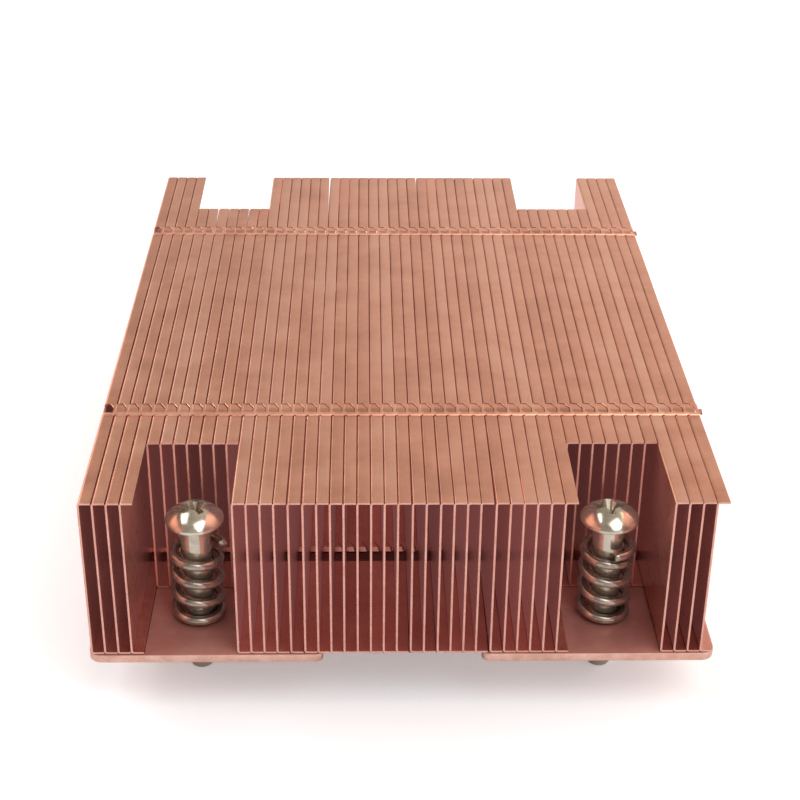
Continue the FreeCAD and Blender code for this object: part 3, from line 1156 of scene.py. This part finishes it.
@dataclass
class BasePlate:
    """The stamped plate under the fins, and the solder that holds them on it.

    A face whose normal lies along Z by less than the share "flat" is part of a cut edge.
    """

    flat: float = 0.9
    edge_break: float = 0.12 * MM
    solder_inset: float = 0.22 * MM
    solder_wander: float = 0.14 * MM
    solder_step: float = 0.45 * MM
    seed: int = 7

    def build(self) -> None:
        """Builds the plate and the solder line."""
        shape = refine("base_plate", self.edge_break, 2)
        for face in shape.faces:
            face.material_index = int(abs(face.normal.z) < self.flat)
        make_piece(
            "base_plate_stamped",
            shape,
            [STAMPED_COPPER.build(), SHEARED_COPPER.build()],
            SINK,
            ["base_plate"],
        )
        self.add_solder()

    def add_solder(self) -> None:
        """Runs a thin bed of solder under each group of fins, uneven at its ends."""
        chance = random.Random(self.seed)
        finish = REFLOWED_SOLDER.build()
        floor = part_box("base_plate")[1].z
        fins = [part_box(f"fin_{number:02d}") for number in range(1, FinStack.count + 1)]
        groups: list[list[tuple[Vector, Vector]]] = []
        for low, high in fins:
            if groups and abs(groups[-1][0][0].y - low.y) < EDITED:
                groups[-1].append((low, high))
            else:
                groups.append([(low, high)])
        for number, group in enumerate(groups, start=1):
            left, right = group[0][0].x, group[-1][0].x + fin_pitch()
            front, rear = group[0][0].y, group[0][1].y
            ceiling = group[0][0].z
            steps = round((right - left) / self.solder_step)
            shape = bmesh.new()
            bmesh.ops.create_grid(shape, x_segments=steps, y_segments=2, size=0.5)
            for vert in shape.verts:
                across, along = vert.co.x + 0.5, vert.co.y
                wander = self.solder_wander * chance.uniform(-1, 1)
                inset = self.solder_inset + wander
                vert.co = (
                    left + (right - left) * across,
                    (front + rear) / 2 + 2 * along * ((rear - front) / 2 - inset),
                    ceiling,
                )
            made = bmesh.ops.extrude_face_region(shape, geom=shape.faces)["geom"]
            bmesh.ops.translate(
                shape,
                verts=pick(made, bmesh.types.BMVert),
                vec=(0, 0, floor - ceiling),
            )
            bmesh.ops.recalc_face_normals(shape, faces=shape.faces)
            make_piece(f"solder_bed_{number}", shape, [finish], SINK)


# --- captive screws -----------------------------------------------------------------------


class Corner(Enum):
    """The four captive screws, each with what sets it and its spring apart.

    The values are the recess's turn in degrees, the turns of the spring that are closed at
    its top, and the bearing in degrees where its wire ends.
    """

    FRONT_LEFT = (38.0, 0.72, 10.0)
    FRONT_RIGHT = (4.0, 1.0, -83.0)
    REAR_LEFT = (71.0, 0.9, 155.0)
    REAR_RIGHT = (22.0, 1.0, 60.0)

    def __init__(self, recess_turn: float, closed_turns: float, wire_end: float) -> None:
        """Names the corner's values."""
        self.recess_turn = math.radians(recess_turn)
        self.closed_turns = closed_turns
        self.wire_end = math.radians(wire_end)

    @property
    def label(self) -> str:
        """The corner's name in the frame."""
        return self.name.lower()

    @property
    def axis(self) -> Vector:
        """A point on the screw's axis, at the plate's top."""
        low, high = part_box(f"screw_{self.label}")
        middle = (low + high) / 2
        return Vector((middle.x, middle.y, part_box("base_plate")[1].z))


def loop_section(
    shape: bmesh.types.BMesh, places: Sequence[tuple[float, float]], closed: bool
) -> list[bmesh.types.BMVert | bmesh.types.BMEdge]:
    """Draws a section in the plane of X and Z.

    Args:
        shape: The mesh it is drawn in.
        places: The section's corners.
        closed: Whether the last corner is joined to the first.

    Returns:
        The section's vertices and edges.
    """
    verts = [shape.verts.new((x, 0, z)) for x, z in places]
    pairs = list(zip(verts, verts[1:]))
    if closed:
        pairs.append((verts[-1], verts[0]))
    return [*verts, *(shape.edges.new(pair) for pair in pairs)]


@dataclass
class CaptiveScrew:
    """A pan-head screw with a cross recess, held under the plate by its clip."""

    head_height: float = 2.4 * MM
    head_rim: float = 0.5 * MM
    rim_break: float = 0.12 * MM
    shoulder_radius: float = 2.1 * MM
    groove_radius: float = 1.6 * MM
    thread_radius: float = 1.95 * MM
    thread_depth: float = 0.32 * MM
    thread_pitch: float = 0.7 * MM
    thread_flank: float = 0.28 * MM
    thread_sink: float = 0.05 * MM
    pilot_radius: float = 1.65 * MM
    pilot_length: float = 1.8 * MM
    pilot_break: float = 0.5 * MM
    pilot_round: tuple[float, float] = (0.3, 0.4)
    play: float = 0.05 * MM
    recess_span: float = 4.4 * MM
    recess_slot: float = 0.95 * MM
    recess_depth: float = 1.9 * MM
    recess_over: float = 0.4 * MM
    wing_top: tuple[float, float] = (1.1, 1.05)
    wing_floor: tuple[float, float] = (0.34, 0.6)
    cone_tip: float = 0.1 * MM
    cone_mouth: float = 1.25 * MM
    cone_over: float = 0.7 * MM
    softening: float = 0.3
    dome_rings: int = 12
    sides: int = 64
    thread_sides: int = 32

    def build(self, corner: Corner, finish: bpy.types.Material) -> None:
        """Builds the screw of one corner.

        Args:
            corner: The corner.
            finish: The screw's material.
        """
        node = f"screw_{corner.label}"
        low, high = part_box(node)
        clip_low, clip_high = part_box(f"clip_{corner.label}")
        shape = self.turn(low, high, clip_low.z, clip_high.z)
        shape = self.cut_recess(shape, high.z)
        self.add_thread(shape, low.z + self.pilot_length, clip_low.z - self.play)
        turn = Matrix.Rotation(corner.recess_turn, 4, "Z")
        place = Matrix.Translation((corner.axis.x, corner.axis.y, 0))
        bmesh.ops.transform(shape, matrix=place @ turn, verts=shape.verts)
        make_piece(
            f"captive_{node}",
            shape,
            [finish],
            f"{corner.label}_screw",
            [node],
            sharp_angle=30.0,
        )

    def turn(
        self, low: Vector, high: Vector, clip_low: float, clip_high: float
    ) -> bmesh.types.BMesh:
        """Turns the screw's body round its axis.

        Args:
            low: The lowest corner of the screw's box.
            high: The highest corner of the screw's box.
            clip_low: The height of the clip's underside.
            clip_high: The height of the clip's top.

        Returns:
            The turned body, on the Z axis.
        """
        radius = (high.x - low.x) / 2
        seat = high.z - self.head_height
        dome = self.head_height - self.head_rim
        sphere = (radius**2 + dome**2) / (2 * dome)
        spread = math.asin(radius / sphere)
        crown = [
            (
                sphere * math.sin(spread * ring / self.dome_rings),
                high.z - sphere * (1 - math.cos(spread * ring / self.dome_rings)),
            )
            for ring in range(self.dome_rings)
        ]
        soft_rim = self.softening * self.rim_break
        tip_in, tip_up = (share * self.pilot_break for share in self.pilot_round)
        core = self.thread_radius - self.thread_depth
        thread_end = low.z + self.pilot_length
        profile = [
            *crown,
            (radius - soft_rim, seat + self.head_rim + soft_rim),
            (radius, seat + self.head_rim - soft_rim),
            (radius, seat + self.rim_break),
            (radius - self.rim_break, seat),
            (self.shoulder_radius + self.rim_break, seat),
            (self.shoulder_radius, seat - self.rim_break),
            (self.shoulder_radius, clip_high + self.play),
            (self.groove_radius, clip_high + self.play),
            (self.groove_radius, clip_low - self.play),
            (core, clip_low - self.play),
            (core, thread_end),
            (self.pilot_radius, thread_end - self.softening * self.thread_depth),
            (self.pilot_radius, low.z + self.pilot_break),
            (self.pilot_radius - tip_in, low.z + tip_up),
            (self.pilot_radius - self.pilot_break, low.z),
            (0.0, low.z),
        ]
        shape = bmesh.new()
        section = loop_section(shape, profile, closed=False)
        bmesh.ops.spin(
            shape,
            geom=section,
            cent=(0, 0, 0),
            axis=UP,
            angle=2 * math.pi,
            steps=self.sides,
            use_merge=True,
        )
        bmesh.ops.remove_doubles(shape, verts=shape.verts, dist=DRAWN)
        bmesh.ops.recalc_face_normals(shape, faces=shape.faces)
        return shape

    def cut_recess(self, shape: bmesh.types.BMesh, crown: float) -> bmesh.types.BMesh:
        """Sinks the tapered cross recess into the head.

        Args:
            shape: The turned body, which is freed.
            crown: The height of the head's crown.

        Returns:
            The body with its recess.
        """
        cutter = bmesh.new()
        top, floor = crown + self.recess_over, crown - self.recess_depth
        for quarter in (0, 90):
            made = bmesh.ops.create_cube(cutter, size=1.0)["verts"]
            for vert in made:
                upper = vert.co.z > 0
                wide, thick = self.wing_top if upper else self.wing_floor
                vert.co = (
                    vert.co.x * wide * self.recess_span,
                    vert.co.y * thick * self.recess_slot,
                    top if upper else floor,
                )
            bmesh.ops.rotate(
                cutter,
                verts=made,
                cent=(0, 0, 0),
                matrix=Matrix.Rotation(math.radians(quarter), 3, "Z"),
            )
        made = bmesh.ops.create_cone(
            cutter,
            cap_ends=True,
            segments=16,
            radius1=self.cone_tip,
            radius2=self.cone_mouth,
            depth=self.recess_depth + self.cone_over,
        )["verts"]
        bmesh.ops.translate(
            cutter, verts=made, vec=(0, 0, crown - 0.5 * self.recess_depth)
        )
        bmesh.ops.recalc_face_normals(cutter, faces=cutter.faces)
        mesh = free_to_mesh("recess", cutter)
        tool = add_object("recess", mesh)
        made_shape = apply_modifier(
            shape,
            "BOOLEAN",
            object=tool,
            operation="DIFFERENCE",
            solver="EXACT",
            use_self=True,
        )
        bpy.data.objects.remove(tool)
        bpy.data.meshes.remove(mesh)
        return made_shape

    def add_thread(self, shape: bmesh.types.BMesh, low: float, high: float) -> None:
        """Winds the thread's ridge round the core.

        Args:
            shape: The screw, on the Z axis.
            low: The height where the thread starts.
            high: The height where it ends.
        """
        root = self.thread_radius - self.thread_depth - self.thread_sink
        flank = self.thread_flank
        start = low + flank
        turns = (high - low - 2 * flank) / self.thread_pitch
        section = loop_section(
            shape,
            [(root, start - flank), (self.thread_radius, start), (root, start + flank)],
            closed=True,
        )
        before = set(shape.faces)
        steps = round(turns * self.thread_sides)
        bmesh.ops.spin(
            shape,
            geom=section,
            cent=(0, 0, 0),
            axis=UP,
            dvec=(0, 0, self.thread_pitch / self.thread_sides),
            angle=2 * math.pi * steps / self.thread_sides,
            steps=steps,
        )
        ridge = [face for face in shape.faces if face not in before]
        rims = {edge for face in ridge for edge in face.edges if edge.is_boundary}
        bmesh.ops.holes_fill(shape, edges=list(rims), sides=3)


@dataclass
class Spring:
    """A left-wound compression spring, standing on the plate, whose top end flares out."""

    wire: float = 1.3 * MM
    coil: float = 7.5 * MM
    rise: float = 3.05 * MM
    gap: float = 0.3 * MM
    flare: float = 0.55 * MM
    flare_turns: float = 0.6
    flat_turns: float = 0.5
    open_turns: float = 3.0
    ease_turns: float = 0.12
    end_break: float = 0.06 * MM
    steps: int = 36
    sides: int = 16
    keep: float = 0.56

    def build(self, corner: Corner, finish: bpy.types.Material) -> None:
        """Builds the spring of one corner.

        Args:
            corner: The corner.
            finish: The wire's material.
        """
        node = f"spring_{corner.label}"
        turns = self.flat_turns + self.open_turns + corner.closed_turns
        radius = (self.coil - self.wire) / 2
        half = self.wire / 2
        shape = bmesh.new()
        made = bmesh.ops.create_circle(
            shape, cap_ends=False, segments=self.sides, radius=half
        )["verts"]
        section = [*made, *{edge for vert in made for edge in vert.link_edges}]
        bmesh.ops.rotate(
            shape, verts=made, cent=(0, 0, 0), matrix=Matrix.Rotation(math.pi / 2, 3, "X")
        )
        bmesh.ops.translate(shape, verts=made, vec=(radius, 0, corner.axis.z + half))
        bmesh.ops.rotate(
            shape,
            verts=made,
            cent=(0, 0, 0),
            matrix=Matrix.Rotation(corner.wire_end + 2 * math.pi * turns, 3, "Z"),
        )
        step = 1 / self.steps
        for number in range(round(turns * self.steps)):
            section = bmesh.ops.spin(
                shape,
                geom=section,
                cent=(0, 0, 0),
                axis=UP,
                dvec=(0, 0, self.climb((number + 0.5) * step, step)),
                angle=-2 * math.pi * step,
                steps=1,
            )["geom_last"]
            self.widen(shape, section, turns - (number + 0.5) * step, step)
        rims = [edge for edge in shape.edges if edge.is_boundary]
        caps = bmesh.ops.holes_fill(shape, edges=rims, sides=self.sides)["faces"]
        bmesh.ops.recalc_face_normals(shape, faces=shape.faces)
        ends = list({edge for cap in caps for edge in cap.edges})
        bevel(shape, ends, self.end_break, segments=1, clamped=False)
        bmesh.ops.translate(shape, verts=shape.verts, vec=(corner.axis.x, corner.axis.y, 0))
        piece = make_piece(
            f"coil_{node}", shape, [finish], SINK, [node], sharp_angle=50.0
        )
        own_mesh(piece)

    def widen(
        self,
        shape: bmesh.types.BMesh,
        section: Sequence[bmesh.types.BMVert | bmesh.types.BMEdge],
        left: float,
        step: float,
    ) -> None:
        """Moves the wire's last section outwards, where the end flares.

        Args:
            shape: The spring, on the Z axis.
            section: The wire's last section.
            left: The turns left to the end.
            step: The step, in turns.
        """
        if left > self.flare_turns:
            return
        ring = pick(section, bmesh.types.BMVert)
        outward = sum((vert.co for vert in ring), Vector()) * Vector((1, 1, 0))
        share = 2 * (1 - left / self.flare_turns) * step / self.flare_turns
        bmesh.ops.translate(shape, verts=ring, vec=outward.normalized() * self.flare * share)

    def climb(self, turn: float, step: float) -> float:
        """How far the wire climbs over one step.

        Args:
            turn: The turns wound so far, from the bottom end.
            step: The step, in turns.

        Returns:
            The rise over the step.
        """
        top = self.flat_turns + self.open_turns
        ease = self.ease_turns
        rising = min(1.0, max(0.0, (turn - self.flat_turns + ease) / (2 * ease)))
        closing = min(1.0, max(0.0, (turn - top + ease) / (2 * ease)))
        return step * (rising * (1 - closing) * self.rise + closing * (self.wire + self.gap))


@dataclass
class Fasteners:
    """The captive screws, each with its spring and its retaining clip."""

    clip_break: float = 0.06 * MM

    def build(self) -> None:
        """Builds the set at each corner."""
        nickel, wire, steel = (
            finish.build() for finish in (NICKEL_PLATE, DRAWN_WIRE, CLIP_STEEL)
        )
        for corner in Corner:
            CaptiveScrew().build(corner, nickel)
            Spring().build(corner, wire)
            node = f"clip_{corner.label}"
            make_piece(
                f"retaining_{node}",
                refine(node, self.clip_break, 2),
                [steel],
                f"{corner.label}_clip",
                [node],
            )


# --- stage ------------------------------------------------------------------------------


@dataclass(frozen=True)
class Softbox:
    """A square lamp that faces the heat sink.

    Its bearing runs from +Y to the right and its elevation upwards, both in degrees. Its
    distance and size are in metres.
    """

    name: str
    bearing: float
    elevation: float
    distance: float
    size: float
    radiance: float
    tint: str = "FFFFFF"

    def hang(self) -> None:
        """Hangs the lamp."""
        light = bpy.data.lights.new(f"softbox_{self.name}", "AREA")
        light.shape = "RECTANGLE"
        light.size = self.size
        light.size_y = self.size
        light.energy = self.radiance * math.pi * self.size**2
        light.color = linear(self.tint)[:3]
        turn = Matrix.Rotation(math.radians(-self.bearing), 3, "Z")
        rise = Matrix.Rotation(math.radians(self.elevation), 3, "X")
        aim = turn @ rise @ Vector((0, 1, 0))
        lamp = add_object(f"softbox_{self.name}", light)
        lamp.location = aim * self.distance
        lamp.rotation_euler = aim.to_track_quat("Z", "Y").to_euler()


# The room's colour by how far up one looks: 0 is level and 1 is straight up.
ROOM = (
    (0.0, "F0EEEC"),
    (0.2, "EAE7E3"),
    (0.35, "E2DDD8"),
    (0.46, "D8D2CB"),
    (0.58, "BFB7AE"),
    (0.75, "B0A89C"),
    (1.0, "A89F92"),
)
SOFTBOXES = (
    Softbox("left", -81.0, 54.0, 1.0, 0.6, 3.0),
    Softbox("front", 141.0, 57.0, 1.0, 0.6, 3.0),
    Softbox("right", 77.0, 38.0, 1.0, 0.6, 1.8, "FFEBC8"),
    Softbox("rear_left", -37.0, 13.0, 0.36, 0.14, 1.1),
    Softbox("rear", 6.0, 27.0, 1.0, 0.36, 0.24, "EEF3FF"),
    Softbox("rear_slant", -56.0, 31.0, 0.7, 0.2, 9.0, "FFF2E0"),
)


@dataclass
class Stage:
    """The floor, the lights and the camera."""

    camera_place: tuple[float, float, float] = (-5.252 * MM, -234.275 * MM, 139.084 * MM)
    pitch: float = 28.9304
    yaw: float = -1.4439
    roll: float = -0.6593
    lens: float = 74.404
    floor_size: float = 6.0
    floor_glow: float = 0.3
    room_slant: float = 0.92

    def build(self) -> None:
        """Builds the stage."""
        self.add_floor()
        self.add_world()
        self.add_lights()
        self.add_camera()

    def add_floor(self) -> None:
        """Lays a white floor under the screws' tips."""
        shape = bmesh.new()
        bmesh.ops.create_grid(shape, x_segments=1, y_segments=1, size=self.floor_size / 2)
        bmesh.ops.translate(shape, verts=shape.verts, vec=(0, 0, CAD_BOX[0][2]))
        mesh = free_to_mesh("floor", shape)
        material = bpy.data.materials.new("white_paper_floor")
        material.use_nodes = True
        tree = material.node_tree
        shader = tree.nodes["Principled BSDF"]
        shader.inputs["Base Color"].default_value = linear("EDEEF4")
        shader.inputs["Roughness"].default_value = 0.9
        shader.inputs["Emission Color"].default_value = linear("FFFFFF")
        seen = add_node(tree, "ShaderNodeLightPath").outputs["Is Camera Ray"]
        glow = add_node(
            tree,
            "ShaderNodeMath",
            {"operation": "MULTIPLY"},
            at_0=seen,
            at_1=self.floor_glow,
        ).outputs[0]
        tree.links.new(glow, shader.inputs["Emission Strength"])
        mesh.materials.append(material)
        add_object("floor", mesh)

    def add_world(self) -> None:
        """Fills the room with soft light that is brighter near the floor than above."""
        world = bpy.data.worlds.new("studio")
        bpy.context.scene.world = world
        world.use_nodes = True
        tree = world.node_tree
        background = tree.nodes["Background"]
        direction = add_node(
            tree,
            "ShaderNodeSeparateXYZ",
            Vector=add_node(tree, "ShaderNodeTexCoord").outputs["Generated"],
        )
        ramp = add_node(
            tree, "ShaderNodeValToRGB", stops=ROOM, Fac=direction.outputs["Z"]
        )
        tree.links.new(ramp.outputs["Color"], background.inputs["Color"])
        strength = add_node(
            tree,
            "ShaderNodeMapRange",
            Value=direction.outputs["X"],
            From_Min=-1.0,
            From_Max=1.0,
            To_Min=1.0 - self.room_slant,
            To_Max=1.0 + self.room_slant,
        ).outputs["Result"]
        tree.links.new(strength, background.inputs["Strength"])

    def add_lights(self) -> None:
        """Hangs the softboxes."""
        for softbox in SOFTBOXES:
            softbox.hang()

    def add_camera(self) -> None:
        """Sets up the camera: pitch is downwards, yaw to the left, roll about its axis."""
        data = bpy.data.cameras.new("camera")
        data.lens = self.lens
        data.sensor_width = 36.0
        data.clip_start = 0.01
        camera = add_object("camera", data)
        yaw = Matrix.Rotation(math.radians(self.yaw), 4, "Z")
        pitch = Matrix.Rotation(math.radians(90 - self.pitch), 4, "X")
        roll = Matrix.Rotation(math.radians(-self.roll), 4, "Z")
        camera.matrix_world = (
            Matrix.Translation(self.camera_place) @ yaw @ pitch @ roll
        )
        bpy.context.scene.camera = camera


def main() -> None:
    """Builds the heat sink's pieces and the stage round them."""
    logging.basicConfig(level=logging.INFO, format="%(name)s %(message)s")
    bpy.context.scene.view_settings.view_transform = "Standard"
    FinStack().build()
    BasePlate().build()
    Fasteners().build()
    Stage().build()


if __name__ == "__main__":
    main()
